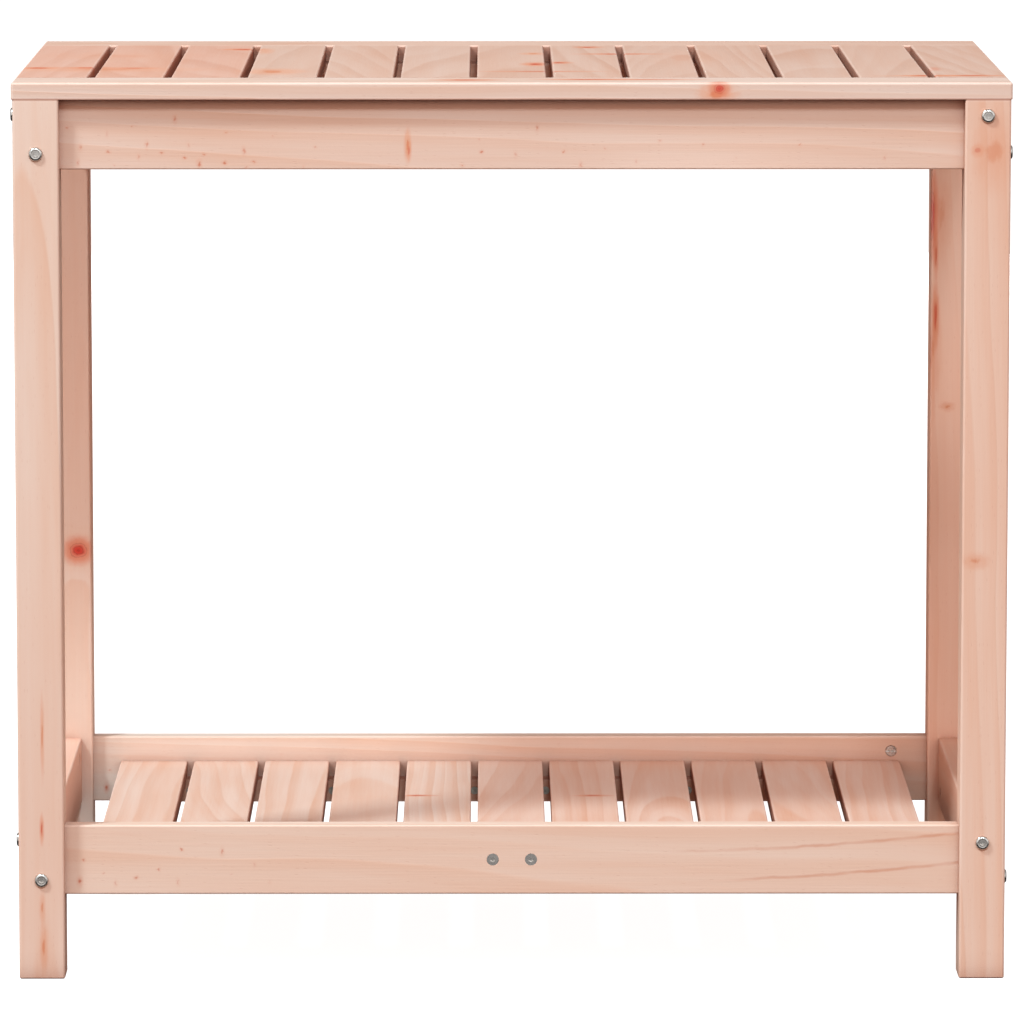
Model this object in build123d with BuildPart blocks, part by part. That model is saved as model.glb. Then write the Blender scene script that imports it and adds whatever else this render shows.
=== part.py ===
from build123d import *
import os

# Potting bench: a slatted worktop on four square legs, with a slatted shelf between the lower rails.
# Millimetres, +Z up. The origin is on the ground under the middle of the bench.
# +X runs along the bench and the front faces -Y.

# ---- driving dimensions of the timber ----
length = 825.0
depth = 500.0
height = 750.0

leg_size = 38.0
leg_inset = 1.0             # the worktop's ends stand this far past the legs
leg_round = 2.0
foot_chamfer = 1.0

rail_height = 58.5
rail_thickness = 18.0
lower_rail_bottom = 70.0
board_round = 1.5

board_thickness = 14.0      # worktop and shelf boards
slat_width = 57.6
slot_width = 6.0
top_slat_count = 13
top_edge_round = 2.0
shelf_slat_count = 11
shelf_length = 698.0
shelf_end_gap = 0.5         # between a shelf slat's end and the rail beside it

batten_length = 742.0
batten_width = 58.5
batten_thickness = 18.0
batten_chamfer = 1.0
ledger_length = 660.0
ledger_width = 18.0
ledger_height = 20.0

# ---- hardware ----
fit = 0.1                   # radial room around dowels, nuts and screws

bolt_radius = 3.0
bolt_hole_radius = 3.25
bolt_tip = 0.6
bolt_past_nut = 6.0
bolt_offset = 15.7          # bolts and dowels stand this far above or below a rail's middle
bolt_head_radius = 5.8
bolt_head_height = 2.4
bolt_head_flat = 3.2
bolt_head_rim = 0.5
bolt_socket_flats = 4.0
bolt_socket_depth = 3.2

barrel_radius = 5.0
barrel_length = 15.0
barrel_inset = 32.0         # from the rail's end to the barrel nut's axis
barrel_sink = 0.4           # the slotted end lies this far below the rail's face
barrel_slot_width = 1.6
barrel_slot_depth = 1.8
barrel_chamfer = 0.5

dowel_radius = 4.0
dowel_length = 30.0
dowel_in_leg = 11.5
top_dowel_radius = 3.0
top_dowel_length = 30.0
dowel_gap = 0.5             # air left past a dowel's end
dowel_chamfer = 0.8

screw_radius = 1.75
screw_head_radius = 3.5
screw_length = 28.0
screw_point = 4.0
screw_gap = 1.0             # air left past a screw's point
screw_from_seam = 20.0
recess_length = 3.6
recess_width = 0.9
recess_depth = 1.4
pan_screw_length = 12.0
pan_head_height = 2.2
pan_head_flat = 2.4
pan_head_rim = 1.0

end_screw_radius = 2.5
end_screw_head_radius = 5.0
end_screw_length = 50.0
end_screw_tip = 2.0
end_screw_spacing = 32.0
end_screw_socket_flats = 4.0
end_screw_socket_depth = 2.6

bracket_leaf = 20.0
bracket_width = 16.0
bracket_thickness = 2.0
bracket_hole_radius = 2.0
bracket_hole_reach = 12.0   # from the corner to each leaf's hole
bracket_x = 200.0           # brackets on the long aprons
bracket_y = 90.0            # brackets on the short aprons

# ---- places worked out from the dimensions ----
underside = height - board_thickness
leg_x = length / 2 - leg_inset - leg_size / 2
leg_y = depth / 2 - leg_size / 2
rail_half = {"x": leg_x - leg_size / 2, "y": leg_y - leg_size / 2}
rail_line = {"x": leg_y, "y": leg_x}
inner_x = leg_x - rail_thickness / 2
inner_y = leg_y - rail_thickness / 2
apron_middle = underside - rail_height / 2
lower_middle = lower_rail_bottom + rail_height / 2

pitch = slat_width + slot_width
seam_y = depth / 2 - slat_width
shelf_half = inner_y - shelf_end_gap
shelf_bottom = lower_middle - board_thickness / 2
batten_bottom = underside - batten_thickness
batten_y = inner_y - batten_width / 2
ledger_bottom = shelf_bottom - ledger_height
ledger_middle = ledger_bottom + ledger_height / 2
ledger_y = inner_y - ledger_width / 2

bolt_length = leg_size + barrel_inset + bolt_past_nut
bolt_hole_depth = barrel_inset + bolt_past_nut + screw_gap
barrel_bolt_depth = rail_thickness / 2 - barrel_sink
through_batten = screw_length - batten_thickness + screw_gap
through_ledger = screw_length - ledger_height + screw_gap
through_bracket = pan_screw_length - bracket_thickness + screw_gap

sides = (-1, 1)
down = (0, 0, -1)
slat_screw_reach = batten_length / 2 - 10.0
ledger_screw_x = [sign * (step + 0.5) * pitch for sign in sides for step in (0, 2, 4)]
end_screw_x = [sign * end_screw_spacing / 2 for sign in sides]


# ---- helpers ----
def save(piece, name):
    """Label a finished piece and write its STEP file."""
    piece.part.label = name
    export_step(piece.part, f"parts/{name}.step")


def rail_frame(axis, run, across, z=0.0):
    """Turn distances along and across a rail that runs on axis x or y into a point or a direction."""
    return (run, across, z) if axis == "x" else (across, run, z)


def bolt_rise(axis, end, side):
    """Long-rail bolts sit high where short-rail bolts sit low, so the two never meet in a leg."""
    return bolt_offset * end * side * (1 if axis == "x" else -1)


def rail_ends(axis):
    """Every place where a rail on this axis meets a leg: its end, its side and its middle height."""
    return [(end, side, middle) for end in sides for side in sides for middle in (lower_middle, apron_middle)]


def slat_span(index, count, panel_half):
    """Low and high X of one slat. The outermost slats run out to the panel's ends."""
    middle = (index - (count - 1) / 2) * pitch
    low = -panel_half if index == 0 else middle - slat_width / 2
    high = panel_half if index == count - 1 else middle + slat_width / 2
    return low, high


def slat_middle(index, count, panel_half):
    low, high = slat_span(index, count, panel_half)
    return (low + high) / 2


def slat_screw_x(index):
    """Where a worktop slat is screwed to its battens, kept inside the battens' ends."""
    return max(-slat_screw_reach, min(slat_screw_reach, (index - (top_slat_count - 1) / 2) * pitch))


top_middles = [slat_middle(index, top_slat_count, length / 2) for index in range(top_slat_count)]
shelf_middles = [slat_middle(index, shelf_slat_count, shelf_length / 2) for index in range(shelf_slat_count)]
slat_screws = [slat_screw_x(index) for index in range(top_slat_count)]
strip_screws = slat_screws[::2]

# Each bracket sits in the corner between a wall and what is above it: the corner, then the way off the wall.
side_brackets = [((sign * inner_x, y, underside), (-sign, 0, 0))
                 for sign in sides for y in (-bracket_y, bracket_y)]
long_brackets = [((x, sign * inner_y, batten_bottom), (0, -sign, 0))
                 for sign in sides for x in (-bracket_x, bracket_x)]
brackets = side_brackets + long_brackets


def wall_hole(bracket, standoff=0.0):
    """The plane of a bracket's hole against the wall, this far off the wall."""
    corner, off_wall = bracket
    spot = Vector(*corner) + Vector(*off_wall) * standoff - Vector(0, 0, bracket_hole_reach)
    return Plane(spot, z_dir=off_wall)


def upper_hole(bracket, drop=0.0):
    """The plane of a bracket's hole against the board above, this far below the board."""
    corner, off_wall = bracket
    spot = Vector(*corner) + Vector(*off_wall) * bracket_hole_reach - Vector(0, 0, drop)
    return Plane(spot, z_dir=down)


# ---- legs ----
def make_leg(side_x, side_y):
    """A square leg with bolt holes right through and dowel sockets in its two inner faces."""
    with BuildPart() as leg:
        with BuildSketch(Plane.XY):
            with Locations((side_x * leg_x, side_y * leg_y)):
                Rectangle(leg_size, leg_size)
        extrude(amount=underside)
        fillet(leg.edges().filter_by(Axis.Z), leg_round)
        chamfer(leg.faces().sort_by(Axis.Z)[0].edges(), foot_chamfer)
        for axis, end, side in (("x", side_x, side_y), ("y", side_y, side_x)):
            rise = bolt_rise(axis, end, side)
            across = side * rail_line[axis]
            inner = end * rail_half[axis]
            outer = end * (rail_half[axis] + leg_size)
            outward = rail_frame(axis, end, 0)
            inward = rail_frame(axis, -end, 0)
            for middle in (lower_middle, apron_middle):
                with Locations(Plane(rail_frame(axis, outer, across, middle + rise), z_dir=outward)):
                    Hole(bolt_hole_radius, depth=leg_size)
                with Locations(Plane(rail_frame(axis, inner, across, middle - rise), z_dir=inward)):
                    Hole(dowel_radius + fit, depth=dowel_in_leg + dowel_gap)
    return leg


# ---- aprons and lower rails ----
def make_rail(axis, side, middle, pilots=()):
    """A rail between two legs, drilled at both ends for a bolt, its barrel nut and a dowel.

    pilots are further blind holes, each a plane and a depth.
    """
    half = rail_half[axis]
    across = side * rail_line[axis]
    with BuildPart() as rail:
        with BuildSketch(Plane.YZ if axis == "x" else Plane.XZ):
            with Locations((across, middle)):
                Rectangle(rail_thickness, rail_height)
        extrude(amount=half, both=True)
        fillet(rail.edges().filter_by(Axis.X if axis == "x" else Axis.Y), board_round)
        for end in sides:
            rise = bolt_rise(axis, end, side)
            outward = rail_frame(axis, end, 0)
            with Locations(Plane(rail_frame(axis, end * half, across, middle + rise), z_dir=outward)):
                Hole(bolt_hole_radius, depth=bolt_hole_depth)
            with Locations(Plane(rail_frame(axis, end * half, across, middle - rise), z_dir=outward)):
                Hole(dowel_radius + fit, depth=dowel_length - dowel_in_leg + dowel_gap)
            with Locations(barrel_plane(axis, end, side, middle, sink=0.0)):
                Hole(barrel_radius + fit, depth=barrel_length + barrel_sink + fit)
        for plane, hole_depth in pilots:
            with Locations(plane):
                Hole(screw_radius + fit, depth=hole_depth)
    return rail


def barrel_plane(axis, end, side, middle, sink):
    """The mouth of a barrel nut's hole in a rail's inner face, with its X along the bolt."""
    run = end * (rail_half[axis] - barrel_inset)
    across = side * (rail_line[axis] - rail_thickness / 2 + sink)
    origin = rail_frame(axis, run, across, middle + bolt_rise(axis, end, side))
    return Plane(origin, x_dir=rail_frame(axis, 1, 0), z_dir=rail_frame(axis, 0, -side))


# ---- worktop ----
def make_top_strip(side):
    """A board along the worktop's front or back, doweled to the slats' ends."""
    with BuildPart() as strip:
        with BuildSketch(Plane.XY.offset(underside)):
            with Locations((0, side * (seam_y + slat_width / 2))):
                Rectangle(length, slat_width)
        extrude(amount=board_thickness)
        fillet(strip.edges().filter_by(Axis.Z).group_by(Axis.Y)[0 if side < 0 else -1], top_edge_round)
        fillet(strip.faces().sort_by(Axis.Z)[-1].edges(), top_edge_round)
        for x in top_middles:
            with Locations(Plane((x, side * seam_y, underside + board_thickness / 2), z_dir=(0, -side, 0))):
                Hole(top_dowel_radius + fit, depth=top_dowel_length / 2 + dowel_gap)
        for x in strip_screws:
            with Locations(Plane((x, side * (seam_y + screw_from_seam), underside), z_dir=down)):
                Hole(screw_radius + fit, depth=through_batten)
    return strip


def make_top_slat(index):
    """One front-to-back slat with a dowel hole in each end and screw holes underneath."""
    low, high = slat_span(index, top_slat_count, length / 2)
    with BuildPart() as slat:
        with BuildSketch(Plane.XY.offset(underside)):
            with Locations((top_middles[index], 0)):
                Rectangle(high - low, 2 * seam_y)
        extrude(amount=board_thickness)
        for place, outermost in ((0, index == 0), (-1, index == top_slat_count - 1)):
            edge = slat.faces().sort_by(Axis.Z)[-1].edges().filter_by(Axis.Y).sort_by(Axis.X)[place]
            fillet(edge, top_edge_round if outermost else board_round)
        for side in sides:
            end_spot = (top_middles[index], side * seam_y, underside + board_thickness / 2)
            with Locations(Plane(end_spot, z_dir=(0, side, 0))):
                Hole(top_dowel_radius + fit, depth=top_dowel_length / 2 + dowel_gap)
            screw_spot = (slat_screws[index], side * (seam_y - screw_from_seam), underside)
            with Locations(Plane(screw_spot, z_dir=down)):
                Hole(screw_radius + fit, depth=through_batten)
        for bracket in side_brackets:
            if low < upper_hole(bracket).origin.X < high:
                with Locations(upper_hole(bracket)):
                    Hole(screw_radius + fit, depth=through_bracket)
    return slat


def make_batten(side):
    """A flat batten under the seam between the slats and a strip, with countersunk screw holes."""
    with BuildPart() as batten:
        with BuildSketch(Plane.XY.offset(batten_bottom)):
            with Locations((0, side * batten_y)):
                Rectangle(batten_length, batten_width)
        extrude(amount=batten_thickness)
        chamfer(batten.faces().sort_by(Axis.Z)[0].edges(), batten_chamfer)
        for plane in batten_screw_planes(side):
            with Locations(plane):
                CounterSinkHole(screw_radius + fit, screw_head_radius + fit, counter_sink_angle=90)
        for bracket in long_brackets:
            if bracket[0][1] * side > 0:
                with Locations(upper_hole(bracket)):
                    Hole(screw_radius + fit, depth=through_bracket)
    return batten


def batten_screw_planes(side):
    """Seats of the screws that go up through one batten, into every slat and half as often the strip."""
    spots = [(x, side * (seam_y - screw_from_seam)) for x in slat_screws]
    spots += [(x, side * (seam_y + screw_from_seam)) for x in strip_screws]
    return [Plane((x, y, batten_bottom), z_dir=down) for x, y in spots]


# ---- shelf ----
def make_shelf_slat(index):
    """One shelf slat. The middle one takes the screws that come through both long rails."""
    low, high = slat_span(index, shelf_slat_count, shelf_length / 2)
    with BuildPart() as slat:
        with BuildSketch(Plane.XY.offset(shelf_bottom)):
            with Locations((shelf_middles[index], 0)):
                Rectangle(high - low, 2 * shelf_half)
        extrude(amount=board_thickness)
        fillet(slat.faces().sort_by(Axis.Z)[-1].edges().filter_by(Axis.Y), board_round)
        for side in sides:
            with Locations(Plane((shelf_middles[index], side * ledger_y, shelf_bottom), z_dir=down)):
                Hole(screw_radius + fit, depth=through_ledger)
            if index == shelf_slat_count // 2:
                for x in end_screw_x:
                    with Locations(Plane((x, side * shelf_half, lower_middle), z_dir=(0, side, 0))):
                        Hole(end_screw_radius + fit, depth=end_screw_length - rail_thickness + screw_gap)
    return slat


def make_ledger(side):
    """A square strip under the slats' ends, screwed to the long lower rail."""
    with BuildPart() as ledger:
        with BuildSketch(Plane.XY.offset(ledger_bottom)):
            with Locations((0, side * ledger_y)):
                Rectangle(ledger_length, ledger_width)
        extrude(amount=ledger_height)
        for plane in ledger_slat_planes(side) + ledger_rail_planes(side):
            with Locations(plane):
                CounterSinkHole(screw_radius + fit, screw_head_radius + fit, counter_sink_angle=90)
    return ledger


def ledger_slat_planes(side):
    """Seats of the screws that go up through one ledger into the shelf slats."""
    return [Plane((x, side * ledger_y, ledger_bottom), z_dir=down) for x in shelf_middles]


def ledger_rail_planes(side):
    """Seats of the screws that go through one ledger into the rail behind it."""
    face_y = side * (inner_y - ledger_width)
    return [Plane((x, face_y, ledger_middle), z_dir=(0, -side, 0)) for x in ledger_screw_x]


def end_screw_planes(side):
    """Seats of the two flush screws in the outer face of a long lower rail."""
    face_y = side * (inner_y + rail_thickness)
    return [Plane((x, face_y, lower_middle), z_dir=(0, side, 0)) for x in end_screw_x]


def add_end_screw_holes(rail, side):
    """Countersunk holes right through a long lower rail, for the screws into the middle shelf slat."""
    with BuildPart() as drilled:
        add(rail.part)
        with Locations(*end_screw_planes(side)):
            CounterSinkHole(end_screw_radius + fit, end_screw_head_radius + fit, counter_sink_angle=90)
    return drilled


# ---- single pieces of hardware: the seat is at the origin and the shank points to -Z ----
def make_bolt():
    """A domed head with a hexagonal socket, on a round shank."""
    with BuildPart() as bolt:
        with BuildSketch(Plane.XZ):
            with BuildLine():
                Polyline((bolt_head_flat, bolt_head_height), (0, bolt_head_height), (0, -bolt_length),
                         (bolt_radius - bolt_tip, -bolt_length), (bolt_radius, -bolt_length + bolt_tip),
                         (bolt_radius, 0), (bolt_head_radius, 0), (bolt_head_radius, bolt_head_rim))
                TangentArc((bolt_head_radius, bolt_head_rim), (bolt_head_flat, bolt_head_height),
                           tangent=(0, 1))
            make_face()
        revolve(axis=Axis.Z)
        with BuildSketch(Plane.XY.offset(bolt_head_height)):
            RegularPolygon(bolt_socket_flats / 2, 6, major_radius=False)
        extrude(amount=-bolt_socket_depth, mode=Mode.SUBTRACT)
    return bolt


def make_barrel_nut():
    """A round cross nut with a screwdriver slot. The bolt passes through it along its X."""
    with BuildPart() as nut:
        Cylinder(barrel_radius, barrel_length, align=(Align.CENTER, Align.CENTER, Align.MAX))
        chamfer(nut.edges().filter_by(GeomType.CIRCLE), barrel_chamfer)
        with BuildSketch(Plane.XY):
            Rectangle(2 * barrel_radius, barrel_slot_width)
        extrude(amount=-barrel_slot_depth, mode=Mode.SUBTRACT)
        with Locations(Plane((barrel_radius, 0, -barrel_bolt_depth), z_dir=(1, 0, 0))):
            Hole(bolt_radius + fit, depth=2 * barrel_radius)
    return nut


def make_wood_screw():
    """A countersunk wood screw with a cross recess."""
    with BuildPart() as screw:
        with BuildSketch(Plane.XZ):
            with BuildLine():
                Polyline((0, 0), (screw_head_radius, 0), (screw_radius, screw_radius - screw_head_radius),
                         (screw_radius, screw_point - screw_length), (0, -screw_length), close=True)
            make_face()
        revolve(axis=Axis.Z)
        with BuildSketch(Plane.XY):
            Rectangle(recess_width, recess_length)
            Rectangle(recess_length, recess_width)
        extrude(amount=-recess_depth, mode=Mode.SUBTRACT)
    return screw


def make_pan_screw():
    """A short pan-head screw for the angle brackets."""
    with BuildPart() as screw:
        with BuildSketch(Plane.XZ):
            with BuildLine():
                Polyline((pan_head_flat, pan_head_height), (0, pan_head_height), (0, -pan_screw_length),
                         (screw_radius, screw_point - pan_screw_length), (screw_radius, 0),
                         (screw_head_radius, 0), (screw_head_radius, pan_head_rim))
                TangentArc((screw_head_radius, pan_head_rim), (pan_head_flat, pan_head_height),
                           tangent=(0, 1))
            make_face()
        revolve(axis=Axis.Z)
        with BuildSketch(Plane.XY.offset(pan_head_height)):
            Rectangle(recess_width, recess_length)
            Rectangle(recess_length, recess_width)
        extrude(amount=-recess_depth, mode=Mode.SUBTRACT)
    return screw


def make_end_screw():
    """A flush furniture screw with a hexagonal socket and a thick shank."""
    with BuildPart() as screw:
        with BuildSketch(Plane.XZ):
            with BuildLine():
                Polyline((0, 0), (end_screw_head_radius, 0),
                         (end_screw_radius, end_screw_radius - end_screw_head_radius),
                         (end_screw_radius, end_screw_tip - end_screw_length),
                         (end_screw_radius / 2, -end_screw_length), (0, -end_screw_length), close=True)
            make_face()
        revolve(axis=Axis.Z)
        with BuildSketch(Plane.XY):
            RegularPolygon(end_screw_socket_flats / 2, 6, major_radius=False)
        extrude(amount=-end_screw_socket_depth, mode=Mode.SUBTRACT)
    return screw


def make_dowel(radius, dowel_size):
    """A round dowel centred on the origin, chamfered at both ends."""
    with BuildPart() as dowel:
        Cylinder(radius, dowel_size)
        chamfer(dowel.edges().filter_by(GeomType.CIRCLE), dowel_chamfer)
    return dowel


def make_bracket():
    """An angle bracket with its corner at the origin: a leaf down the wall at X = 0, a leaf overhead."""
    with BuildPart() as bracket:
        with BuildSketch(Plane.XZ):
            Rectangle(bracket_leaf, bracket_thickness, align=(Align.MIN, Align.MAX))
            Rectangle(bracket_thickness, bracket_leaf, align=(Align.MIN, Align.MAX))
        extrude(amount=bracket_width / 2, both=True)
        upper_spot = Plane((bracket_hole_reach, 0, 0), z_dir=(0, 0, 1))
        wall_spot = Plane((0, 0, -bracket_hole_reach), z_dir=(-1, 0, 0))
        with Locations(upper_spot, wall_spot):
            Hole(bracket_hole_radius, depth=bracket_thickness)
    return bracket


def place_copies(piece, planes):
    """One node that holds a copy of a piece on every plane."""
    with BuildPart() as group:
        with Locations(*planes):
            add(piece.part)
    return group


def bolt_planes(axis):
    """Seats of the bolts that hold the rails on one axis, in the legs' outer faces."""
    planes = []
    for end, side, middle in rail_ends(axis):
        run = end * (rail_half[axis] + leg_size)
        spot = (run, side * rail_line[axis], middle + bolt_rise(axis, end, side))
        planes.append(Plane(rail_frame(axis, *spot), z_dir=rail_frame(axis, end, 0)))
    return planes


def rail_dowel_planes(axis):
    """Middles of the dowels between the rails on one axis and the legs."""
    planes = []
    for end, side, middle in rail_ends(axis):
        run = end * (rail_half[axis] + dowel_in_leg - dowel_length / 2)
        spot = (run, side * rail_line[axis], middle - bolt_rise(axis, end, side))
        planes.append(Plane(rail_frame(axis, *spot), z_dir=rail_frame(axis, end, 0)))
    return planes


# ---- build every node ----
os.makedirs("parts", exist_ok=True)

for side_y, row in ((-1, "front"), (1, "back")):
    for side_x, column in ((-1, "left"), (1, "right")):
        save(make_leg(side_x, side_y), f"leg_{row}_{column}")

for side, name in ((-1, "front"), (1, "back")):
    apron_pilots = [(wall_hole(bracket), through_bracket)
                    for bracket in long_brackets if bracket[0][1] * side > 0]
    ledger_pilots = [(Plane((x, side * inner_y, ledger_middle), z_dir=(0, -side, 0)),
                      screw_length - ledger_width + screw_gap) for x in ledger_screw_x]
    save(make_rail("x", side, apron_middle, apron_pilots), f"apron_{name}")
    lower_rail = make_rail("x", side, lower_middle, ledger_pilots)
    save(add_end_screw_holes(lower_rail, side), f"lower_rail_{name}")
    save(make_top_strip(side), f"top_strip_{name}")
    save(make_batten(side), f"top_batten_{name}")
    save(make_ledger(side), f"shelf_ledger_{name}")

for side, name in ((-1, "left"), (1, "right")):
    apron_pilots = [(wall_hole(bracket), through_bracket)
                    for bracket in side_brackets if bracket[0][0] * side > 0]
    save(make_rail("y", side, apron_middle, apron_pilots), f"apron_{name}")
    save(make_rail("y", side, lower_middle), f"lower_rail_{name}")

for index in range(top_slat_count):
    save(make_top_slat(index), f"top_slat_{index + 1:02d}")
for index in range(shelf_slat_count):
    save(make_shelf_slat(index), f"shelf_slat_{index + 1:02d}")

bolt = make_bolt()
barrel_nut = make_barrel_nut()
for axis, bolts, nuts in (("x", "bolts_long_rails", "barrel_nuts_long_rails"),
                          ("y", "bolts_short_rails", "barrel_nuts_short_rails")):
    save(place_copies(bolt, bolt_planes(axis)), bolts)
    nut_planes = [barrel_plane(axis, end, side, middle, barrel_sink) for end, side, middle in rail_ends(axis)]
    save(place_copies(barrel_nut, nut_planes), nuts)

rail_dowel = make_dowel(dowel_radius, dowel_length)
save(place_copies(rail_dowel, rail_dowel_planes("x") + rail_dowel_planes("y")), "rail_dowels")
top_dowel = make_dowel(top_dowel_radius, top_dowel_length)
top_dowel_planes = [Plane((x, side * seam_y, underside + board_thickness / 2), z_dir=(0, side, 0))
                    for side in sides for x in top_middles]
save(place_copies(top_dowel, top_dowel_planes), "top_dowels")

wood_screw = make_wood_screw()
save(place_copies(wood_screw, batten_screw_planes(-1) + batten_screw_planes(1)), "batten_screws")
save(place_copies(wood_screw, ledger_slat_planes(-1) + ledger_slat_planes(1)), "shelf_slat_screws")
save(place_copies(wood_screw, ledger_rail_planes(-1) + ledger_rail_planes(1)), "ledger_rail_screws")
save(place_copies(make_end_screw(), end_screw_planes(-1) + end_screw_planes(1)), "shelf_end_screws")

bracket_planes = [Plane(corner, x_dir=off_wall, z_dir=(0, 0, 1)) for corner, off_wall in brackets]
save(place_copies(make_bracket(), bracket_planes), "angle_brackets")
pan_screw_planes = [wall_hole(bracket, bracket_thickness) for bracket in brackets]
pan_screw_planes += [upper_hole(bracket, bracket_thickness) for bracket in brackets]
save(place_copies(make_pan_screw(), pan_screw_planes), "bracket_screws")
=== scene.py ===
"""Looks, light and camera for the potting bench: bare pinkish softwood with zinc fastenings."""

import math

import bpy
from mathutils import Euler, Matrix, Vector


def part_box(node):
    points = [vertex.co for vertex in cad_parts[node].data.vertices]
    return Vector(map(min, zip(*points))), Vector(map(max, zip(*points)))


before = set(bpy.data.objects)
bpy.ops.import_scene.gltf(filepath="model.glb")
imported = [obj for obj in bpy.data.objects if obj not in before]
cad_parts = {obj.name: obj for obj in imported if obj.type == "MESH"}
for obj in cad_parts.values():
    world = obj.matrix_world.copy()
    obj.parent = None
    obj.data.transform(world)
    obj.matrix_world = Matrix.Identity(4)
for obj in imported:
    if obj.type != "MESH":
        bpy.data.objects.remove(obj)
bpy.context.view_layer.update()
MM = 0.001
WHITE = (1.0, 1.0, 1.0, 1.0)


def srgb(red, green, blue):
    """A linear colour from 0-255 display values."""
    def linear(value):
        value = value / 255
        return value / 12.92 if value <= 0.04045 else ((value + 0.055) / 1.055) ** 2.4
    return (linear(red), linear(green), linear(blue), 1.0)


class Tree:
    """Short calls for building a node tree. A value is a number, a tuple or another node's output."""

    def __init__(self, tree):
        self.tree = tree

    def node(self, kind, inputs=None, **settings):
        made = self.tree.nodes.new(kind)
        for name, value in settings.items():
            setattr(made, name, value)
        for name, value in (inputs or {}).items():
            self.plug(made.inputs[name], value)
        return made

    def plug(self, socket, value):
        if isinstance(value, bpy.types.NodeSocket):
            self.tree.links.new(value, socket)
        else:
            socket.default_value = value

    def maths(self, operation, *values, clamp=False):
        made = self.tree.nodes.new("ShaderNodeMath")
        made.operation = operation
        made.use_clamp = clamp
        for socket, value in zip(made.inputs, values):
            self.plug(socket, value)
        return made.outputs[0]

    def vector(self, operation, *values):
        made = self.tree.nodes.new("ShaderNodeVectorMath")
        made.operation = operation
        for socket, value in zip(made.inputs, values):
            self.plug(socket, value)
        return made.outputs["Value" if operation == "LENGTH" else "Vector"]

    def scaled(self, vector, *factors):
        """A vector times one factor, or times one factor for each axis."""
        return self.vector("MULTIPLY", vector, factors * 3 if len(factors) == 1 else factors)

    def split(self, vector):
        return self.node("ShaderNodeSeparateXYZ", {0: vector}).outputs

    def join(self, x, y, z):
        return self.node("ShaderNodeCombineXYZ", {0: x, 1: y, 2: z}).outputs[0]

    def ramp(self, value, low, high, start=0.0, end=1.0):
        """A smooth step from start to end while value goes from low to high."""
        made = self.node("ShaderNodeMapRange", {0: value, 1: low, 2: high, 3: start, 4: end})
        made.interpolation_type = "SMOOTHSTEP"
        return made.outputs[0]

    def peak(self, phase, low, top):
        """Rises over a phase from low to top and falls back to nothing by 1."""
        return self.maths("MULTIPLY", self.ramp(phase, low, top), self.ramp(phase, top, 1.0, 1.0, 0.0))

    def centred(self, value):
        """A 0-1 noise moved to lie evenly round nothing."""
        return self.maths("SUBTRACT", value, 0.5)

    def noise(self, vector, scale=1.0, detail=2.0, roughness=0.5, output="Fac"):
        return self.node("ShaderNodeTexNoise", {
            "Vector": vector, "Scale": scale, "Detail": detail, "Roughness": roughness}).outputs[output]

    def mix(self, factor, first, second, blend="MIX"):
        made = self.tree.nodes.new("ShaderNodeMix")
        made.data_type = "RGBA"
        made.blend_type = blend
        self.plug(made.inputs["Factor"], factor)
        self.plug(made.inputs[6], first)
        self.plug(made.inputs[7], second)
        return made.outputs[2]

    def tinted(self, colour, tint):
        return self.mix(1.0, colour, tint, "MULTIPLY")


def group(name, inputs, outputs):
    """A node group with (kind, default) sockets, as its tree, its inputs and its output node."""
    tree = bpy.data.node_groups.new(name, "ShaderNodeTree")
    for label, (kind, default) in inputs.items():
        socket = tree.interface.new_socket(label, in_out="INPUT", socket_type="NodeSocket" + kind)
        socket.default_value = default
    for label, kind in outputs.items():
        tree.interface.new_socket(label, in_out="OUTPUT", socket_type="NodeSocket" + kind)
    maker = Tree(tree)
    return maker, maker.node("NodeGroupInput").outputs, maker.node("NodeGroupOutput").inputs


def new_material(name):
    """An empty material, as itself and its node tree's maker."""
    material = bpy.data.materials.new(name)
    material.use_nodes = True
    material.node_tree.nodes.clear()
    return material, Tree(material.node_tree)


def show(t, inputs):
    """Ends a material with a principled shader."""
    shader = t.node("ShaderNodeBsdfPrincipled", inputs)
    t.plug(t.node("ShaderNodeOutputMaterial").inputs["Surface"], shader.outputs[0])


# ---------------------------------------------------------------- softwood

EARLY = srgb(232, 203, 186)
LATE = srgb(224, 172, 143)
PORE_COLOUR = srgb(196, 128, 100)
# Pattern scales per metre, along and across the grain.
DRIFT_SCALE = (2.2, 9.0, 9.0)
FIBRE_SCALE = (14.0, 620.0, 620.0)
STREAK_SCALE = (2.4, 95.0, 95.0)
BLOTCH_SCALE = (5.0, 22.0, 22.0)
PORE_SCALE = (130.0, 700.0, 700.0)
# How far in metres a ring wanders from its circle, by how many years the ring widths vary, and the fine rings
# in a year.
RING_WANDER = 0.022
YEAR_WANDER = 1.8
FINE_RINGS = 3.0
# What each pattern adds to the darkness, and the darkness of wood with no pattern.
LATE_WEIGHT, FINE_WEIGHT, FIBRE_WEIGHT, STREAK_WEIGHT, BLOTCH_WEIGHT = 0.58, 0.10, 0.35, 1.0, 1.3
BASE_DARKNESS = 0.22
# How strongly a pore is coloured, and the share of cells that have one.
PORE_WEIGHT = 0.16
PORE_SHARE = 0.20


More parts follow.
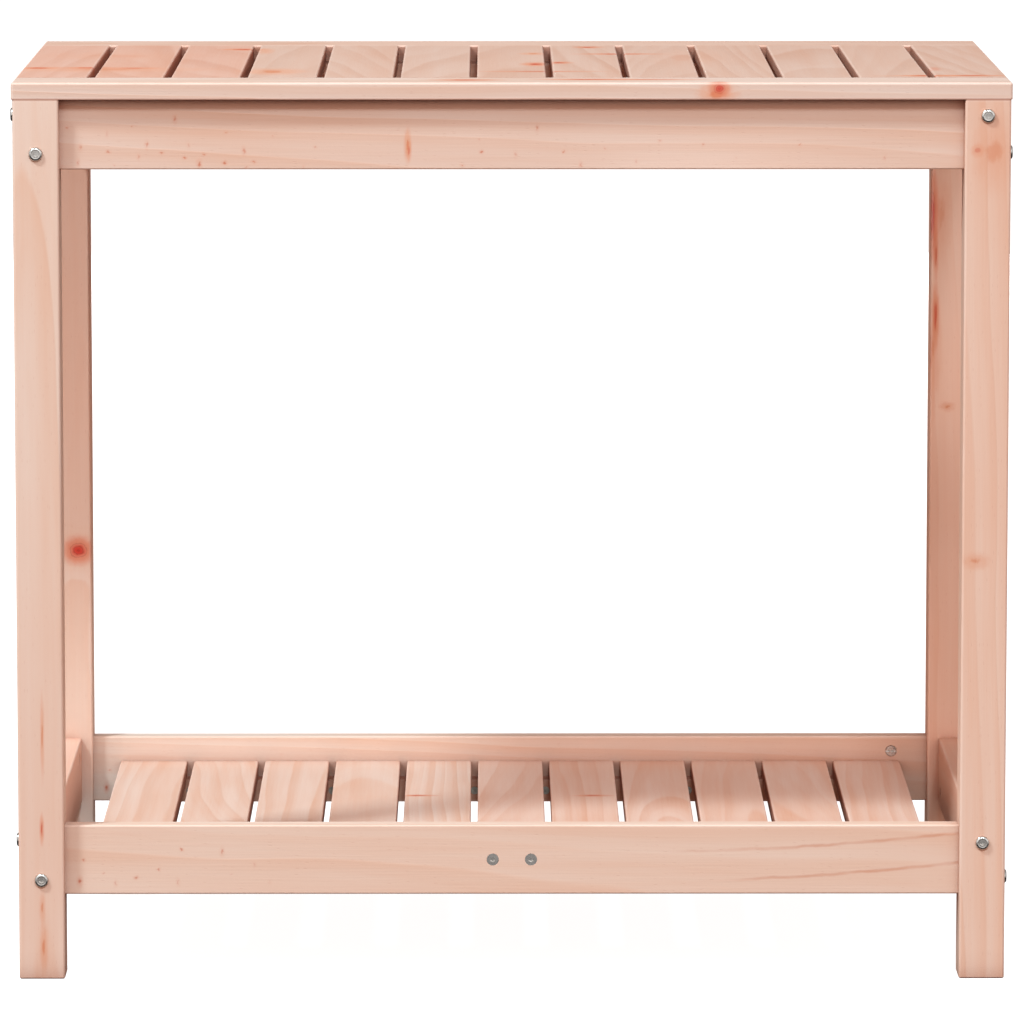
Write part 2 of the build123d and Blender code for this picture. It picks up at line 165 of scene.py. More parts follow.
def softwood_group():
    """Growth rings cut through by the board, fibres, resin pores and slow colour drift, all in metres."""
    t, given, out = group("softwood", {
        "Grain": ("Vector", (0, 0, 0)),
        "Heart V": ("Float", 0.0),
        "Heart W": ("Float", -0.05),
        "Slope V": ("Float", 0.0),
        "Slope W": ("Float", 0.05),
        "Ring": ("Float", 0.004),
        "Bulge": ("Float", 0.0),
        "Contrast": ("Float", 0.5),
        "Early": ("Color", EARLY),
        "Late": ("Color", LATE),
    }, {"Color": "Color", "Ring": "Float", "Fibre": "Float", "Pore": "Float"})
    grain = given["Grain"]
    along, across, through = t.split(grain)

    # The distance from the heart of the tree, counted in years.
    drift = t.noise(t.scaled(grain, *DRIFT_SCALE), roughness=0.45, output="Color")
    drift_v, drift_w, _ = t.split(t.vector("SUBTRACT", drift, (0.5, 0.5, 0.5)))
    v = t.maths("MULTIPLY_ADD", along, given["Slope V"], t.maths("SUBTRACT", across, given["Heart V"]))
    v = t.maths("MULTIPLY_ADD", drift_v, RING_WANDER, v)
    w = t.maths("MULTIPLY_ADD", along, given["Slope W"], t.maths("SUBTRACT", through, given["Heart W"]))
    w = t.maths("MULTIPLY_ADD", drift_w, RING_WANDER, w)
    radius = t.maths("ADD", t.vector("LENGTH", t.join(v, w, 0.0)), given["Bulge"])
    uneven = t.noise(t.join(t.maths("MULTIPLY", radius, 55.0), given["Heart V"], 0.0), detail=1.0)
    years = t.maths("MULTIPLY_ADD", uneven, YEAR_WANDER, t.maths("DIVIDE", radius, given["Ring"]))

    # Late wood darkens towards the end of each year, more in some years than in others.
    year = t.node("ShaderNodeTexWhiteNoise", {"W": t.maths("FLOOR", years)}, noise_dimensions="1D")
    late = t.maths("MULTIPLY", t.peak(t.maths("FRACT", years), 0.10, 0.90),
                   t.maths("MULTIPLY_ADD", year.outputs["Value"], 0.8, 0.35))
    fine = t.peak(t.maths("FRACT", t.maths("MULTIPLY", years, FINE_RINGS)), 0.35, 0.85)
    fibre = t.noise(t.scaled(grain, *FIBRE_SCALE), detail=3.0, roughness=0.6)
    streak = t.noise(t.scaled(grain, *STREAK_SCALE))
    blotch = t.noise(t.scaled(grain, *BLOTCH_SCALE))
    cells = t.node("ShaderNodeTexVoronoi", {
        "Vector": t.scaled(grain, *PORE_SCALE), "Scale": 1.0, "Randomness": 1.0})
    chosen = t.maths("GREATER_THAN", t.split(cells.outputs["Color"])[0], 1.0 - PORE_SHARE)
    pore = t.maths("MULTIPLY", t.ramp(cells.outputs["Distance"], 0.10, 0.30, 1.0, 0.0), chosen)

    dark = t.maths("MULTIPLY", late, LATE_WEIGHT)
    dark = t.maths("MULTIPLY_ADD", t.centred(fibre), FIBRE_WEIGHT, dark)
    dark = t.maths("MULTIPLY_ADD", fine, FINE_WEIGHT, dark)
    dark = t.maths("MULTIPLY_ADD", t.centred(streak), STREAK_WEIGHT, dark)
    dark = t.maths("MULTIPLY_ADD", t.centred(blotch), BLOTCH_WEIGHT, dark)
    dark = t.maths("MULTIPLY_ADD", dark, given["Contrast"], BASE_DARKNESS, clamp=True)
    colour = t.mix(dark, given["Early"], given["Late"])
    colour = t.mix(t.maths("MULTIPLY", pore, PORE_WEIGHT), colour, PORE_COLOUR)
    t.plug(out["Color"], colour)
    t.plug(out["Ring"], late)
    t.plug(out["Fibre"], fibre)
    t.plug(out["Pore"], pore)
    return t.tree


def mark_group():
    """How far a point is from a mark's centre, in the mark's own radii, with an uneven edge."""
    t, given, out = group("mark distance", {
        "Place": ("Vector", (0, 0, 0)),
        "Centre": ("Vector", (0, 0, 0)),
        "Inverse radii": ("Vector", (100, 100, 100)),
        "Uneven": ("Float", 0.35),
    }, {"Distance": "Float", "Bulge": "Float"})
    away = t.vector("SUBTRACT", given["Place"], given["Centre"])
    local = t.vector("MULTIPLY", away, given["Inverse radii"])
    wobble = t.noise(t.vector("ADD", local, given["Centre"]), 1.7, 3.0, 0.6)
    distance = t.maths("MULTIPLY_ADD", t.centred(wobble), t.maths("MULTIPLY", given["Uneven"], 2.0),
                       t.vector("LENGTH", local))
    spread = t.maths("MULTIPLY", distance, 0.45)
    t.plug(out["Distance"], distance)
    t.plug(out["Bulge"], t.maths("EXPONENT", t.maths("MULTIPLY", t.maths("MULTIPLY", spread, spread), -1.0)))
    return t.tree


SOFTWOOD = softwood_group()
MARK = mark_group()

# ---------------------------------------------------------------- knots, streaks and stains

# Each mark: centre in mm, radii in mm, kind, strength. A mark colours every board that it reaches.
MARKS = [
    ((-400, -83, 750), (13, 8, 8), "streak", 1.0),
    ((-358, -81, 750), (15, 7, 8), "streak", 1.0),
    ((-320, -84, 750), (17, 6, 8), "streak", 0.75),
    ((-350, -100, 750), (80, 26, 10), "stain", 0.6),
    ((-340, 60, 750), (60, 40, 10), "stain", 0.25),
    ((-234, 141, 750), (14, 9, 9), "streak", 1.0),
    ((-214, 120, 745), (7, 34, 12), "stain", 0.9),
    ((-202, -125, 750), (24, 34, 8), "stain", 0.9),
    ((-38, -221, 750), (22, 8, 5), "streak", 0.8),
    ((21, -39, 750), (9, 16, 8), "streak", 1.0),
    ((41, -21, 750), (8, 10, 8), "streak", 0.9),
    ((20, 88, 750), (11, 14, 8), "stain", 0.9),
    ((68, 168, 750), (9, 9, 8), "streak", 0.9),
    ((93, 84, 750), (26, 6, 6), "streak", 1.0),
    ((23, -124, 750), (36, 6, 5), "streak", 0.7),
    ((66, -214, 750), (34, 6, 5), "streak", 1.0),
    ((118, -214, 750), (30, 5, 5), "streak", 0.7),
    ((346, -174, 750), (16, 7, 8), "streak", 1.0),
    ((384, -172, 750), (20, 6, 8), "streak", 0.85),
    ((356, -174, 750), (44, 9, 10), "stain", 0.75),
    ((357, -95, 742), (4, 18, 7), "knot", 0.6),
    ((150, 40, 750), (30, 90, 8), "stain", 0.2),
    ((171, -250, 745), (5.5, 9, 5), "knot", 0.8),
    ((169, -250, 740), (14, 8, 10), "stain", 1.0),
    ((-385, 213, 298), (9, 8, 8), "knot", 1.0),
    ((374, 213, 598), (3.6, 9, 26), "knot", 1.0),
    ((378, 213, 562), (1.6, 9, 15), "streak", 0.8),
    ((382, 213, 600), (8, 9, 34), "stain", 0.5),
    ((378, 213, 508), (2.2, 9, 20), "streak", 0.95),
    ((374, 213, 478), (7, 9, 48), "stain", 0.85),
    ((389, 213, 427), (6, 8, 4), "stain", 0.8),
    ((385, -250, 352), (10, 5, 6), "stain", 0.7),
    ((384, -250, 694), (4, 5, 4), "streak", 0.5),
    ((398, -250, 692), (15, 5, 26), "stain", 0.6),
    ((-392, -250, 127), (1.4, 6, 9), "streak", 0.8),
    ((-391, -250, 205), (1.6, 6, 30), "stain", 0.8),
    ((-392, -250, 60), (2.4, 6, 12), "stain", 0.7),
    ((-391, -250, 26), (3.2, 6, 18), "stain", 0.85),
    ((-86, -240, 698), (2.8, 5, 12), "stain", 1.0),
    ((-85, -240, 693), (1.5, 5, 6), "streak", 0.6),
    ((-81, 37, 106), (12, 3.5, 8), "streak", 0.95),
    ((72, 36, 106), (12, 4, 8), "streak", 0.85),
]
# Pin knots: board, place along X and height in mm, strength.
PINS = {
    "apron_front": [
        (-367, 712, 0.6), (-334, 707, 0.3), (-313, 713, 0.4), (-278, 719, 0.7), (-236, 708, 0.6),
        (-197, 705, 0.3), (-356, 696, 0.5), (-333, 692, 0.8), (-301, 698, 0.6), (-308, 688, 0.4),
        (-289, 691, 0.8), (-267, 698, 0.3), (-270, 687, 0.9), (-254, 690, 0.7), (-258, 682, 0.9),
        (-237, 683, 1.0), (-221, 693, 0.6), (-213, 684, 0.9), (-328, 681, 0.3), (-358, 683, 0.5),
        (-162, 696, 0.5), (-219, 679, 0.5), (-172, 679, 0.3), (-25, 692, 0.9), (3, 690, 0.4),
        (-41, 681, 0.7), (43, 692, 0.7), (21, 712, 0.5), (-27, 702, 0.35), (57, 681, 0.5),
        (77, 695, 0.4), (122, 701, 0.6), (103, 684, 0.3), (158, 698, 0.5), (238, 698, 0.5),
        (308, 687, 0.3), (185, 687, 0.2),
    ],
    "lower_rail_front": [
        (-358, 99, 0.7), (-361, 81, 1.0), (-341, 88, 0.4), (-331, 79, 0.4), (-314, 84, 0.8),
        (-295, 91, 0.6), (-279, 80, 0.4), (-276, 108, 0.7), (-242, 106, 0.6), (-215, 95, 0.25),
        (-234, 87, 0.2), (-202, 80, 0.2),
    ],
    "lower_rail_back": [
        (-359, 98, 0.7), (-362, 82, 1.0), (-205, 112, 0.2),
    ],
}
# Core colour, halo colour, and how many radii out the core and the halo end.
MARK_COLOURS = {
    "knot": (srgb(206, 46, 32), srgb(218, 118, 82), 1.0, 2.1),
    "streak": (srgb(200, 84, 54), srgb(220, 140, 104), 0.85, 1.9),
    "stain": (srgb(212, 132, 94), srgb(222, 158, 126), 0.5, 1.6),
}
MARK_ORDER = ("stain", "streak", "knot")
KNOT_RING_COLOUR = srgb(140, 24, 16)
# How far in metres a full knot pushes the rings outwards.
KNOT_PUSH = 0.009
PIN_COLOUR, PIN_HALO_COLOUR = srgb(194, 98, 68), srgb(218, 148, 116)
# How far in metres the pin knots are smeared, from end to end.
PIN_SMEAR = 0.0035
# Long thin rings on a front face: where along X and how high in mm a line starts, and how it rises and bends.
LINES = {"lower_rail_front": [(177, 107, 0.035, 0.00020), (205, 83, 0.045, 0.00022)]}
LINE_COLOUR = srgb(208, 142, 112)


def touching(mark, low, high):
    """Whether a mark's colour reaches a box."""
    reach = 2.2 * MM
    centre, radii, _, _ = mark
    return all(start - reach * radius < along * MM < end + reach * radius
               for along, radius, start, end in zip(centre, radii, low, high))


def find_marks(t, place, low, high):
    """The marks that reach a box, undermost first, and how far its knots push the rings outwards."""
    reached = []
    bulge = None
    for mark in MARKS:
        if not touching(mark, low, high):
            continue
        centre, radii, kind, strength = mark
        made = t.node("ShaderNodeGroup", node_tree=MARK)
        t.plug(made.inputs["Place"], place)
        made.inputs["Centre"].default_value = [c * MM for c in centre]
        made.inputs["Inverse radii"].default_value = [1 / (r * MM) for r in radii]
        made.inputs["Uneven"].default_value = 0.22 if kind == "knot" else 0.45
        reached.append((made.outputs["Distance"], kind, strength))
        if kind == "knot":
            push = t.maths("MULTIPLY", made.outputs["Bulge"], KNOT_PUSH * strength)
            bulge = t.maths("ADD", bulge, push) if bulge else push
    reached.sort(key=lambda found: MARK_ORDER.index(found[1]))
    return reached, bulge


def paint_marks(t, colour, reached):
    """Each mark's halo and core, and rings round the core of a knot."""
    for distance, kind, strength in reached:
        core, halo, inner, outer = MARK_COLOURS[kind]
        colour = t.mix(t.ramp(distance, inner * 0.9, outer, strength * 0.75, 0.0), colour, halo)
        colour = t.mix(t.ramp(distance, inner * 0.25, inner, strength * 0.92, 0.0), colour, core)
        if kind == "knot":
            rings = t.maths("SINE", t.maths("MULTIPLY", distance, 17.0))
            ringed = t.maths("MULTIPLY", t.ramp(rings, 0.2, 1.0),
                             t.ramp(distance, 0.7, 1.05, 0.35 * strength, 0.0))
            colour = t.mix(ringed, colour, KNOT_RING_COLOUR)
    return colour


def paint_lines(t, colour, place, lines):
    """Long, thin, wavering rings on a front face, worked out in mm."""
    for start, height, rise, bend in lines:
        x, _, z = t.split(t.scaled(place, 1000.0))
        run = t.maths("SUBTRACT", x, float(start))
        curve = t.maths("MULTIPLY", run, t.maths("MULTIPLY_ADD", run, bend, rise))
        waver = t.noise(t.scaled(place, 60.0), detail=3.0)
        line = t.maths("MULTIPLY_ADD", waver, 3.0, t.maths("ADD", curve, height - 1.5))
        off = t.maths("ABSOLUTE", t.maths("SUBTRACT", z, line))
        patchy = t.ramp(t.noise(t.scaled(place, 26.0)), 0.35, 0.65, 0.22, 0.62)
        shown = t.maths("MULTIPLY", t.ramp(off, 0.2, 2.1, 1.0, 0.0), t.ramp(run, -60.0, 15.0))
        colour = t.mix(t.maths("MULTIPLY", shown, patchy), colour, LINE_COLOUR)
    return colour


def paint_pins(t, colour, place, front, pins):
    """Small round and upright pin knots near the front face, all smeared by one noise."""
    if not pins:
        return colour
    smear = t.vector("SUBTRACT", t.noise(place, 420.0, output="Color"), (0.5, 0.5, 0.5))
    smeared = t.vector("ADD", place, t.scaled(smear, PIN_SMEAR, 0.0, PIN_SMEAR))
    for number, (along, up, strength) in enumerate(pins):
        away = t.vector("SUBTRACT", smeared, (along * MM, front, up * MM))
        size = (0.65 + 0.6 * strength) * MM
        flatter = 0.5 if math.sin(number * 2.4) > 0.3 else 1.25
        reach = t.vector("LENGTH", t.scaled(away, 1 / size, 1 / (9 * size), flatter / size))
        colour = t.mix(t.ramp(reach, 0.6, 3.2, strength * 0.38, 0.0), colour, PIN_HALO_COLOUR)
        colour = t.mix(t.ramp(reach, 0.2, 1.3, strength * 0.80, 0.0), colour, PIN_COLOUR)
    return colour


# ---------------------------------------------------------------- boards

AXIS = {"x": 0, "y": 1, "z": 2}
END_GRAIN = srgb(226, 178, 152)
# Paler colour of long edges: partly wear, partly a painted highlight on the rounded edges.
WEAR_AND_HIGHLIGHT_COLOUR = srgb(240, 214, 200)
# Painted shade: crevices darken by this colour where anything is nearer than this many metres.
CREVICE_SHADE = (0.52, 0.32, 0.26, 1.0)
CREVICE_SHADE_REACH = 0.028
# Height in mm of the seam between the legs and the top, along which a thin shadow line is painted.
SEAM = 736
# How far in metres the seam's painted shadow and an edge's wear and painted highlight fade: where each starts
# to fade, and where it ends.
SEAM_SHADOW_WIDTHS = (0.0002, 0.0015)
EDGE_WIDTHS = (0.0003, 0.0028)
# How a seed moves a board through the pattern, and the metres after which each axis starts again.
SEED_STEPS, SEED_SPANS = (0.731, 0.413, 0.277), (7.0, 5.0, 3.0)


def wood(node, grain, seed, heart=(0.0, -45.0), slope=(0.0, 0.03), ring=10.0, contrast=0.5,
         tone_and_shade=(1, 1, 1), far_tone_and_shade=None, early=EARLY, late=LATE):
    """Softwood on one board: grain along an axis, its heart and ring width in mm, tones at both ends, which
    hold painted shade and light as well as the board's own colour.
    """
    low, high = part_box(node)
    middle = (Vector(low) + Vector(high)) / 2
    half = (Vector(high) - Vector(low)) / 2
    first = AXIS[grain]
    rest = sorted((i for i in range(3) if i != first), key=lambda i: -half[i])
    material, t = new_material("wood_" + node)
    place = t.node("ShaderNodeTexCoord").outputs["Object"]
    axes = t.split(t.vector("SUBTRACT", place, tuple(middle)))
    reached, bulge = find_marks(t, place, low, high)

    # The board is cut from its own part of the pattern, by its seed.
    shifted = tuple(seed * step % span for step, span in zip(SEED_STEPS, SEED_SPANS))
    board = t.node("ShaderNodeGroup", node_tree=SOFTWOOD)
    grain_place = t.join(axes[first], axes[rest[0]], axes[rest[1]])
    t.plug(board.inputs["Grain"], t.vector("ADD", grain_place, shifted))
    for name, value in {
            "Heart V": heart[0] * MM + shifted[1], "Heart W": heart[1] * MM + shifted[2],
            "Slope V": slope[0], "Slope W": slope[1], "Ring": ring * MM, "Contrast": contrast,
            "Early": early, "Late": late}.items():
        board.inputs[name].default_value = value
    if bulge:
        t.plug(board.inputs["Bulge"], bulge)
    # Tone from one end of the board to the other: partly the board's own colour, partly painted shade and
    # light.
    along = t.ramp(axes[first], -half[first], half[first])
    ends = t.mix(along, (*tone_and_shade, 1.0), (*(far_tone_and_shade or tone_and_shade), 1.0))
    colour = t.tinted(board.outputs["Color"], ends)
    colour = paint_lines(t, colour, place, LINES.get(node, ()))
    colour = paint_pins(t, colour, place, low[1], PINS.get(node, ()))
    colour = paint_marks(t, colour, reached)

    # Cut ends show darker, open fibres; long edges are paler, partly from wear and partly as a painted
    # highlight; crevices get painted shade.
    normal = t.split(t.node("ShaderNodeNewGeometry").outputs["Normal"])
    end = t.ramp(t.maths("ABSOLUTE", normal[first]), 0.6, 0.95)
    colour = t.mix(t.maths("MULTIPLY", end, 0.35), colour, t.tinted(colour, END_GRAIN))
    away = [t.maths("SUBTRACT", half[i], t.maths("ABSOLUTE", axes[i])) for i in range(3)]
    edge = t.maths("MAXIMUM", t.maths("MINIMUM", away[0], away[1]),
                   t.maths("MINIMUM", t.maths("MAXIMUM", away[0], away[1]), away[2]))
    # Long edges turn paler, partly wear and partly a painted highlight, less so in crevices.
    wear_and_highlight_noise = t.noise(t.scaled(place, 40.0), detail=3.0)
    open_air = t.node("ShaderNodeAmbientOcclusion", {"Distance": CREVICE_SHADE_REACH}, samples=4).outputs["AO"]
    wear_and_highlight = t.maths("MULTIPLY", t.ramp(edge, *EDGE_WIDTHS, 1.0, 0.0), t.ramp(wear_and_highlight_noise, 0.25, 0.7, 0.15, 0.45))
    wear_and_highlight = t.maths("MULTIPLY", wear_and_highlight, t.ramp(open_air, 0.6, 0.95))
    colour = t.mix(wear_and_highlight, colour, WEAR_AND_HIGHLIGHT_COLOUR)
    # Painted shade: the colour darkens in crevices where the occlusion test finds surfaces near.
    shade = t.ramp(open_air, 0.2, 0.9, 0.9, 0.0)
    # A painted shadow line along the seam where the top strip sits on the legs.
    if node.startswith("leg") or node == "top_strip_front":
        gap = t.maths("ABSOLUTE", t.maths("SUBTRACT", t.split(place)[2], SEAM * MM))
        shade = t.maths("MAXIMUM", shade, t.ramp(gap, *SEAM_SHADOW_WIDTHS, 0.85, 0.0))
    colour = t.mix(shade, colour, t.tinted(colour, CREVICE_SHADE))

    height = t.maths("MULTIPLY", board.outputs["Fibre"], 0.7)
    height = t.maths("MULTIPLY_ADD", board.outputs["Ring"], 0.5, height)
    height = t.maths("MULTIPLY_ADD", board.outputs["Pore"], -0.35, height)
    bump = t.node("ShaderNodeBump", {"Strength": 0.35, "Distance": 0.0004, "Height": height})
    rough = t.maths("MULTIPLY_ADD", board.outputs["Fibre"], 0.16,
                    t.maths("MULTIPLY_ADD", board.outputs["Ring"], -0.08, 0.52))
    show(t, {"Base Color": colour, "Roughness": rough, "Normal": bump.outputs["Normal"], "IOR": 1.45})
    return material


def zinc(name, tint, roughness, wear):
    """Zinc plate: fine spangle, dull blotches and a few darker scuffs."""
    material, t = new_material(name)
    place = t.node("ShaderNodeTexCoord").outputs["Object"]
    spangle = t.noise(t.scaled(place, 1400.0), detail=3.0, roughness=0.6)
    cloud = t.noise(t.scaled(place, 260.0), detail=3.0, roughness=0.55)
    dull = t.ramp(cloud, 0.35, 0.75)
    colour = t.mix(dull, tint, [c * 0.72 for c in tint[:3]] + [1.0])
    colour = t.mix(t.ramp(spangle, 0.62, 0.72, 0.0, wear), colour, srgb(118, 108, 96))
    rough = t.maths("MULTIPLY_ADD", dull, 0.18, t.maths("MULTIPLY_ADD", spangle, 0.14, roughness))
    bump = t.node("ShaderNodeBump", {"Strength": 0.25, "Distance": 0.0001, "Height": spangle})
    show(t, {"Base Color": colour, "Roughness": rough, "Metallic": 1.0, "Normal": bump.outputs["Normal"]})
    return material


def dress(node, material):
    """Puts one material on every slot of a CAD node."""
    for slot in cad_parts[node].material_slots:
        slot.material = material


# Legs stand along Z, rails and strips lie along their own length. Each row is a node, its grain, seed, heart,
# slope and ring width, and what differs from a usual board. The tones are partly each board's own colour and
# partly painted shade and light: they make boards and board ends lighter or darker to match how they are lit,
# such as the darker right lower rail and right end of the back rail.
for node, grain, seed, heart, slope, ring, extra in (
        ("leg_front_left", "z", 1, (6, -62), (0.02, 0.015), 10.1, {"far_tone_and_shade": (0.98, 1.04, 1.07)}),
        ("leg_front_right", "z", 2, (-30, -40), (0.01, 0.02), 9.0,
         {"tone_and_shade": (1.04, 1.05, 1.05), "far_tone_and_shade": (0.97, 0.90, 0.86)}),
        ("leg_back_left", "z", 3, (25, -55), (0.01, 0.01), 9.5,
         {"tone_and_shade": (0.99, 1.12, 1.19), "far_tone_and_shade": (1.07, 0.94, 0.89)}),
        ("leg_back_right", "z", 4, (-20, -70), (0.015, 0.02), 10.6, {"tone_and_shade": (1.05, 1.0, 0.97)}),
        ("apron_front", "x", 5, (-40, -55), (0.01, 0.02), 9.8, {"tone_and_shade": (0.95, 0.955, 0.965)}),
        ("apron_back", "x", 6, (30, -45), (-0.01, 0.02), 10.6, {}),
        ("apron_left", "y", 7, (10, -50), (0.02, 0.02), 10.1, {}),
        ("apron_right", "y", 8, (-15, -45), (0.01, 0.04), 10.9, {}),
        ("lower_rail_front", "x", 9, (28, -60), (0.015, 0.02), 11.2,
         {"contrast": 0.42, "tone_and_shade": (1.02, 1.06, 1.07)}),
        ("lower_rail_back", "x", 10, (-20, -40), (0.01, 0.03), 10.4,
         {"tone_and_shade": (0.94, 1.09, 1.17), "far_tone_and_shade": (0.91, 0.90, 0.88)}),
        ("lower_rail_left", "y", 11, (10, -40), (0.01, 0.05), 10.1, {"tone_and_shade": (1.05, 0.92, 0.88)}),
        ("lower_rail_right", "y", 12, (-12, -50), (0.02, 0.04), 10.6, {"tone_and_shade": (0.92, 0.78, 0.72)}),
        ("top_strip_front", "x", 20, (12, -38), (0.01, 0.03), 10.1, {"tone_and_shade": (0.92, 0.97, 1.01)}),
        ("top_strip_back", "x", 21, (-14, -42), (-0.01, 0.03), 10.9, {"tone_and_shade": (0.89, 0.85, 0.84)})):
    dress(node, wood(node, grain, seed, heart, slope, ring, **extra))

# Each slat of the top and shelf is its own board, some quarter cut and straight, some flat cut with arched
# grain: a step of the golden angle in radians spreads the cuts evenly.
GOLDEN_ANGLE = 2.399


def dress_slats(prefix, count, seed, start, heart, depth, slope, contrast, tones_and_shade):
    """Slats with their own cuts, whose values swing round a middle from slat to slat.

    Heart is the swing of the tree's heart across the board. Depth and contrast are a middle value and a swing.
    Slope is the middle value through the board, the swing across it and the swing through it. The tones are
    the first slats' tone, how many slats have it, and the tone of the rest; besides the wood's own colour they
    hold painted shade.
    """
    first_tone, first_count, other_tone = tones_and_shade
    for i in range(1, count + 1):
        turn = i * GOLDEN_ANGLE + start
        red, green, blue = first_tone if i <= first_count else other_tone
        node = f"{prefix}_{i:02d}"
        dress(node, wood(
            node, "y", seed + i, heart=(heart * math.sin(turn), depth[0] - depth[1] * math.cos(turn * 1.7)),
            slope=(slope[1] * math.cos(turn), slope[0] + slope[2] * math.sin(turn * 1.3)),
            ring=10.0 + 2.0 * math.sin(turn * 0.8), contrast=contrast[0] + contrast[1] * math.cos(turn),
            tone_and_shade=(red, green + 0.012 * math.sin(turn), blue + 0.02 * math.sin(turn))))


# The slat tones are partly the wood's own colour and partly painted shade: the shelf slats on the right, which
# lie in shade, are darker, and the top slats are darker all over.
dress_slats("top_slat", 13, 30, 0, heart=34, depth=(-30, 22), slope=(0.05, 0.03, 0.03), contrast=(0.42, 0.1),
            tones_and_shade=((0.88, 0.71, 0.66), 3, (0.85, 0.79, 0.77)))
dress_slats("shelf_slat", 11, 60, 1, heart=14, depth=(-26, 14), slope=(0.025, 0.02, 0.02),
            contrast=(0.72, 0.12), tones_and_shade=((0.97, 0.95, 0.95), 5, (0.98, 0.90, 0.88)))

# Parts under the top and shelf: plainer sawn stock, coloured darker as painted shade beneath the slats. Dowels
# are pale hardwood.
for number, node in enumerate(("top_batten_front", "top_batten_back",
                               "shelf_ledger_front", "shelf_ledger_back")):
    dress(node, wood(node, "x", 80 + number, heart=(8 * (number - 1), -50), slope=(0.01, 0.03), ring=12.3,
                     contrast=0.62, early=srgb(206, 160, 138), late=srgb(184, 124, 98)))
for number, node in enumerate(("rail_dowels", "top_dowels")):
    dress(node, wood(node, "x", 90 + number, ring=1.6, contrast=0.4,
                     early=srgb(226, 200, 162), late=srgb(206, 172, 128)))

bright = zinc("zinc_bright", srgb(222, 216, 210), 0.13, 0.35)
dull = zinc("zinc_dull", srgb(188, 180, 168), 0.34, 0.5)
for node in ("bolts_long_rails", "bolts_short_rails", "barrel_nuts_long_rails",
             "barrel_nuts_short_rails", "shelf_end_screws"):
    dress(node, bright)
for node in ("batten_screws", "shelf_slat_screws", "ledger_rail_screws", "angle_brackets", "bracket_screws"):
    dress(node, dull)

# ---------------------------------------------------------------- light, floor and camera

FLOOR_SIZE, FLOOR_DROP = 60.0, 0.0005
FLOOR_GREY, FLOOR_GLOW = 0.4, 0.94
# The surround: its warm colour, its lowest level, how much its bright band adds in front, and how much of that
# is lost from the front to the sides.
SKY_COLOUR = (1.42, 0.96, 0.80, 1.0)
SKY_LOW, SKY_LEVEL, SKY_FRONT = 0.13, 1.15, 0.45
# The lowest level that reflections see, and how much the bright band adds to it in front.
MIRROR_LOW, MIRROR_LEVEL = 0.05, 1.25
AIM = (0.0, 0.0, 0.4)
# Area lights: place, size, power, colour.
AREA_LIGHTS = {
    "front_key": ((0.60, -5.20, 5.34), 1.1, 245.0, (0.76, 0.99, 1.10)),
    "left_key": ((-3.58, -2.30, 5.54), 0.8, 335.0, (0.80, 1.0, 1.08)),
    # Low behind the bench, so that it lights the back faces and barely reaches the top.
    "back_fill": ((0.40, 6.00, 0.75), 1.6, 120.0, (1.0, 0.98, 0.96)),
}
# A narrow, soft beam through the open bay on to the right back leg, which the apron would leave in shade.
BEAM_PLACE, BEAM_AIM = (-2.0, -4.5, 0.25), (0.39, 0.213, 0.55)
BEAM_POWER, BEAM_ANGLE, BEAM_RADIUS = 330.0, 4.5, 0.05
CAMERA_PLACE = (-0.02067, -6.41612, 1.20805)
CAMERA_PITCH, CAMERA_TURN = 90.0 - 7.525, -0.193
CAMERA_LENS, CAMERA_SENSOR, CAMERA_REACH = 263.68, 36.0, 100.0


def floor():
    """A plain white floor under the whole set."""
    bpy.ops.mesh.primitive_plane_add(size=FLOOR_SIZE, location=(0.0, 0.0, -FLOOR_DROP))
    plane = bpy.context.object
    plane.name = "floor"
    material, t = new_material("floor_white")
    show(t, {
        "Base Color": (FLOOR_GREY, FLOOR_GREY, FLOOR_GREY, 1.0), "Roughness": 0.9,
        "Specular IOR Level": 0.0, "Emission Color": WHITE, "Emission Strength": FLOOR_GLOW})
    plane.data.materials.append(material)
    plane.visible_diffuse = False
    plane.visible_glossy = False


def lamp(name, kind, place, aim, power, **settings):
    """A light that points at a place."""
    data = bpy.data.lights.new(name, kind)
    data.energy = power
    for setting, value in settings.items():
        setattr(data, setting, value)
    made = bpy.data.objects.new(name, data)
    made.location = place
    made.rotation_euler = (Vector(aim) - Vector(place)).to_track_quat("-Z", "Y").to_euler()
    bpy.context.collection.objects.link(made)
    return made


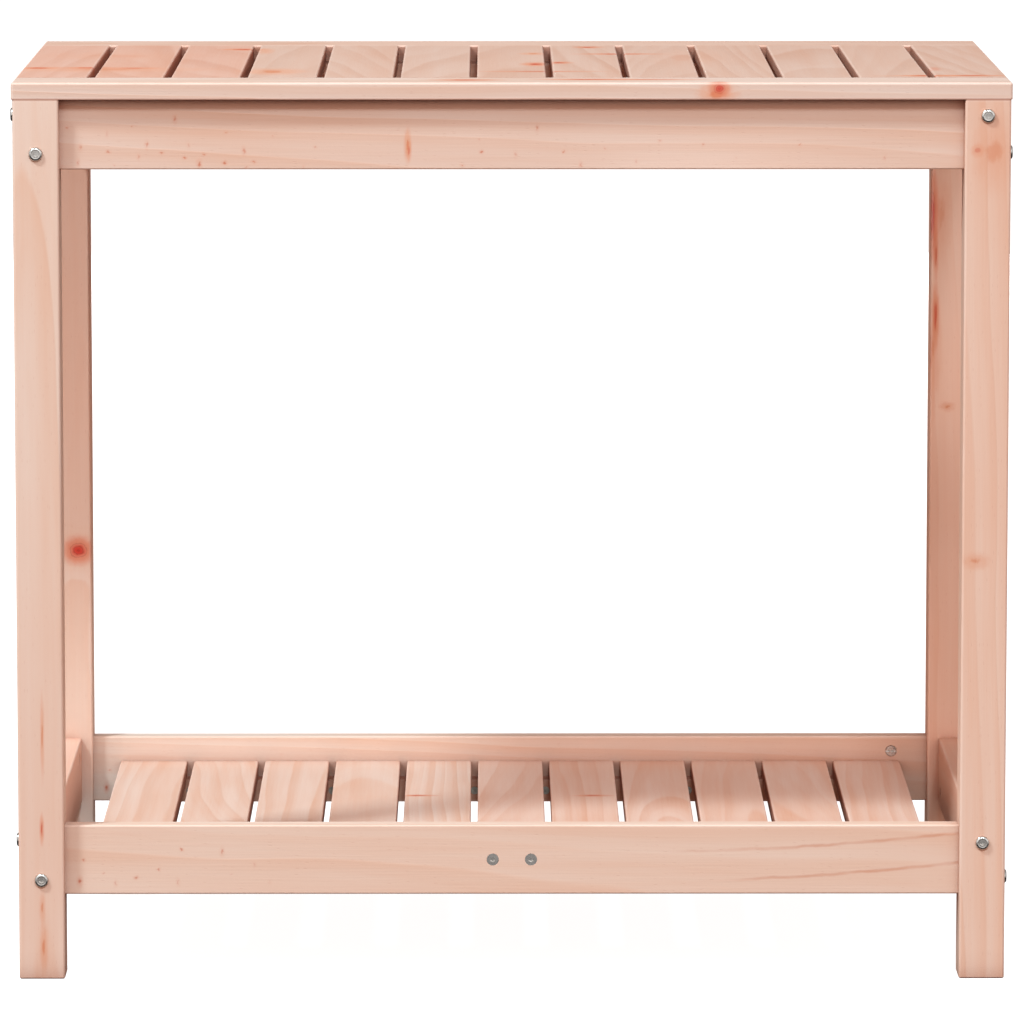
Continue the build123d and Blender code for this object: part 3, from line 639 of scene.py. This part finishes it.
def sky():
    """A warm, soft surround, brightest in front and at eye level; the camera itself sees plain white."""
    world = bpy.data.worlds.new("studio")
    world.use_nodes = True
    bpy.context.scene.world = world
    world.node_tree.nodes.clear()
    t = Tree(world.node_tree)
    _, y, z = t.split(t.node("ShaderNodeTexCoord").outputs["Generated"])
    rays = t.node("ShaderNodeLightPath").outputs
    facing = t.maths("MULTIPLY_ADD", y, -SKY_FRONT, 1.0 - SKY_FRONT)
    level = t.maths("MULTIPLY", t.ramp(z, -0.08, 0.38), t.ramp(z, 0.38, 0.80, 1.0, 0.05))
    strength = t.maths("MULTIPLY_ADD", t.maths("MULTIPLY", level, facing), SKY_LEVEL, SKY_LOW)
    mirrored = t.maths("MULTIPLY", t.ramp(z, -0.27, 0.12), t.ramp(z, 0.38, 0.80, 1.0, 0.45))
    mirrored = t.maths("MULTIPLY_ADD", t.maths("MULTIPLY", mirrored, facing), MIRROR_LEVEL, MIRROR_LOW)
    strength = t.maths("ADD", strength, t.maths(
        "MULTIPLY", rays["Is Glossy Ray"], t.maths("SUBTRACT", mirrored, strength)))
    colour = t.mix(rays["Is Glossy Ray"], SKY_COLOUR, WHITE)
    soft = t.node("ShaderNodeBackground", {"Color": colour, "Strength": strength})
    plain = t.node("ShaderNodeBackground", {"Color": WHITE, "Strength": 1.0})
    both = t.node("ShaderNodeMixShader", {0: rays["Is Camera Ray"], 1: soft.outputs[0], 2: plain.outputs[0]})
    t.plug(t.node("ShaderNodeOutputWorld").inputs["Surface"], both.outputs[0])


floor()
sky()
for name, (place, size, power, colour) in AREA_LIGHTS.items():
    light = lamp(name, "AREA", place, AIM, power, shape="SQUARE", size=size, color=colour)
    light.visible_camera = False
    light.visible_glossy = name != "back_fill"
lamp("bay_spot", "SPOT", BEAM_PLACE, BEAM_AIM, BEAM_POWER, spot_size=math.radians(BEAM_ANGLE),
     spot_blend=1.0, shadow_soft_size=BEAM_RADIUS)

camera_data = bpy.data.cameras.new("camera")
camera_data.lens = CAMERA_LENS
camera_data.sensor_width = CAMERA_SENSOR
camera_data.clip_end = CAMERA_REACH
camera = bpy.data.objects.new("camera", camera_data)
camera.location = CAMERA_PLACE
camera.rotation_euler = Euler((math.radians(CAMERA_PITCH), 0.0, math.radians(CAMERA_TURN)))
bpy.context.collection.objects.link(camera)
bpy.context.scene.camera = camera
bpy.context.scene.view_settings.view_transform = "Standard"
